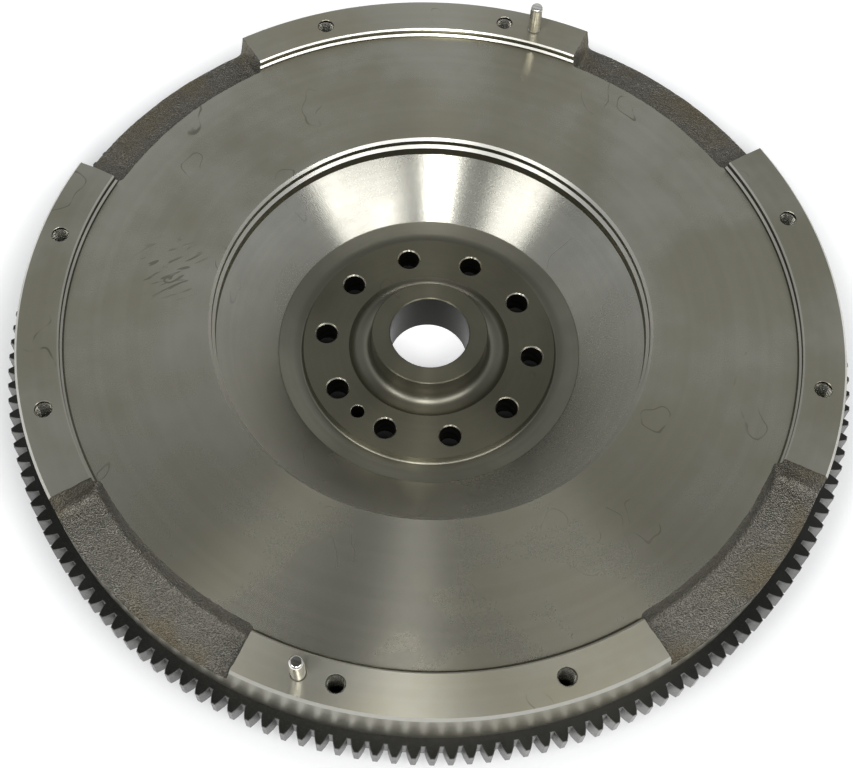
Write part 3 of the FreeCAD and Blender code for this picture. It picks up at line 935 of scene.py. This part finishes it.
def strip_light(name, azimuth, tilt, distance, width, depth, radiance):
    """A rectangular light that faces the hub, at an azimuth and a tilt from straight up, in degrees."""
    a, t = math.radians(azimuth), math.radians(tilt)
    place = Vector((math.cos(a) * math.sin(t), math.sin(a) * math.sin(t), math.cos(t))) * distance
    data = bpy.data.lights.new(name, "AREA")
    data.shape = "RECTANGLE"
    data.size, data.size_y = width, depth
    data.energy = radiance * math.pi * width * depth
    light = bpy.data.objects.new(name, data)
    light.matrix_world = Matrix.Translation(place) @ (-place).to_track_quat("-Z", "Y").to_matrix().to_4x4()
    bpy.context.scene.collection.objects.link(light)
    return light


class FLYWHEEL_OT_stage(Operator):
    """Lay the pale floor, hang the lights and set the camera"""

    bl_idname = "flywheel.stage"
    bl_label = "Stage"

    def execute(self, context):
        stage, scene = context.scene.flywheel_stage, context.scene
        bm = bmesh.new()
        bmesh.ops.create_grid(bm, x_segments=8, y_segments=8, size=25.0)
        paper = bpy.data.materials.new("Floor paper")
        paper.use_nodes = True
        tree = paper.node_tree
        shader = tree.nodes["Principled BSDF"]
        place = add(tree, "TexCoord").outputs["Object"]
        fibre = add(tree, "TexNoise", {"Vector": place, "Scale": 300.0, "Detail": 3.0}).outputs["Fac"]
        pale = rgba(stage.floor_colour)
        tone = blend(tree, fibre, pale, rgba(shade(stage.floor_colour, 0.98)))
        radius = add(tree, "VectorMath", {0: place}, operation="LENGTH").outputs["Value"]
        # Painted shade: the floor is near-black under the crank flange, where its holes look through; painted
        # light: it glows through the bore and round the flywheel
        painted_shade_under_flange = maths(tree, "MULTIPLY", ramp(tree, radius, 0.03, 0.04), ramp(tree, radius, 0.1, 0.2, 1.0, 0.0))
        tree.links.new(blend(tree, painted_shade_under_flange, tone, rgba((0.02, 0.02, 0.02))), shader.inputs["Base Color"])
        shader.inputs["Roughness"].default_value = 0.9
        # Painted light: the floor glows inside the bore and beyond the gear's rim
        painted_floor_glow = maths(
            tree, "ADD", ramp(tree, radius, 0.25, 0.30, 0.0, 0.45), ramp(tree, radius, 0.0235, 0.024, 0.55, 0.0)
        )
        tree.links.new(painted_floor_glow, shader.inputs["Emission Strength"])
        shader.inputs["Emission Color"].default_value = pale
        floor = new_piece("floor", bm, [paper])

        world = bpy.data.worlds.new("Studio")
        world.use_nodes = True
        tree = world.node_tree
        up = add(tree, "SeparateXYZ", {0: add(tree, "TexCoord").outputs["Generated"]}).outputs["Z"]
        low = blend(tree, ramp(tree, up, 0.2, 0.7), rgba(stage.wall_colour), rgba(stage.cove_colour))
        soft = blend(tree, ramp(tree, up, 0.74, 0.98), low, rgba(stage.ceiling_colour))
        tree.links.new(soft, tree.nodes["Background"].inputs["Color"])
        scene.world = world
        scene.view_settings.view_transform = "Standard"

        for name, azimuth, tilt, width, share in (
            ("Strip middle", 264, 36, 0.24, 3.1),
            ("Strip right", 309, 41, 0.95, 0.72),
            ("Strip left", 218, 41, 0.55, 0.85),
        ):
            strip_light(name, azimuth, tilt, 1.8, width, 0.8, stage.light_strength * share)

        aim = Vector(stage.aim)
        a, e = stage.azimuth, stage.elevation
        back = Vector((math.sin(a) * math.cos(e), -math.cos(a) * math.cos(e), math.sin(e)))
        place = Vector((0, 0, scene.flywheel_casting.face_height)) + back * stage.distance
        data = bpy.data.cameras.new("Camera")
        data.lens, data.shift_x = stage.lens, stage.shift
        data.clip_start, data.clip_end = 0.01, 50
        camera = bpy.data.objects.new("Camera", data)
        facing = (aim - place).to_track_quat("-Z", "Y").to_matrix().to_4x4()
        camera.matrix_world = Matrix.Translation(place) @ facing @ Matrix.Rotation(stage.roll, 4, "Z")
        scene.collection.objects.link(camera)
        scene.camera = camera
        return {"FINISHED"}


class FLYWHEEL_PT_panel(Panel):
    """Build steps of the flywheel"""

    bl_label = "Clutch Flywheel"
    bl_idname = "FLYWHEEL_PT_panel"
    bl_space_type = "VIEW_3D"
    bl_region_type = "UI"
    bl_category = "Flywheel"

    def draw(self, context):
        for operator in OPERATORS:
            self.layout.operator(operator.bl_idname)


OPERATORS = (FLYWHEEL_OT_casting, FLYWHEEL_OT_ring_gear, FLYWHEEL_OT_dowel_pins, FLYWHEEL_OT_stage)
SETTINGS = {
    "flywheel_casting": CastingSizes,
    "flywheel_gear": GearSizes,
    "flywheel_pins": PinSizes,
    "flywheel_finishes": Finishes,
    "flywheel_stage": StageSettings,
}


def register():
    for name, group in SETTINGS.items():
        bpy.utils.register_class(group)
        setattr(bpy.types.Scene, name, PointerProperty(type=group))
    for entry in (*OPERATORS, FLYWHEEL_PT_panel):
        bpy.utils.register_class(entry)


def unregister():
    for entry in (FLYWHEEL_PT_panel, *reversed(OPERATORS)):
        bpy.utils.unregister_class(entry)
    for name, group in SETTINGS.items():
        delattr(bpy.types.Scene, name)
        bpy.utils.unregister_class(group)


def main():
    """Build every piece and the stage."""
    register()
    bpy.ops.flywheel.casting()
    bpy.ops.flywheel.ring_gear()
    bpy.ops.flywheel.dowel_pins()
    bpy.ops.flywheel.stage()


if __name__ == "__main__":
    main()
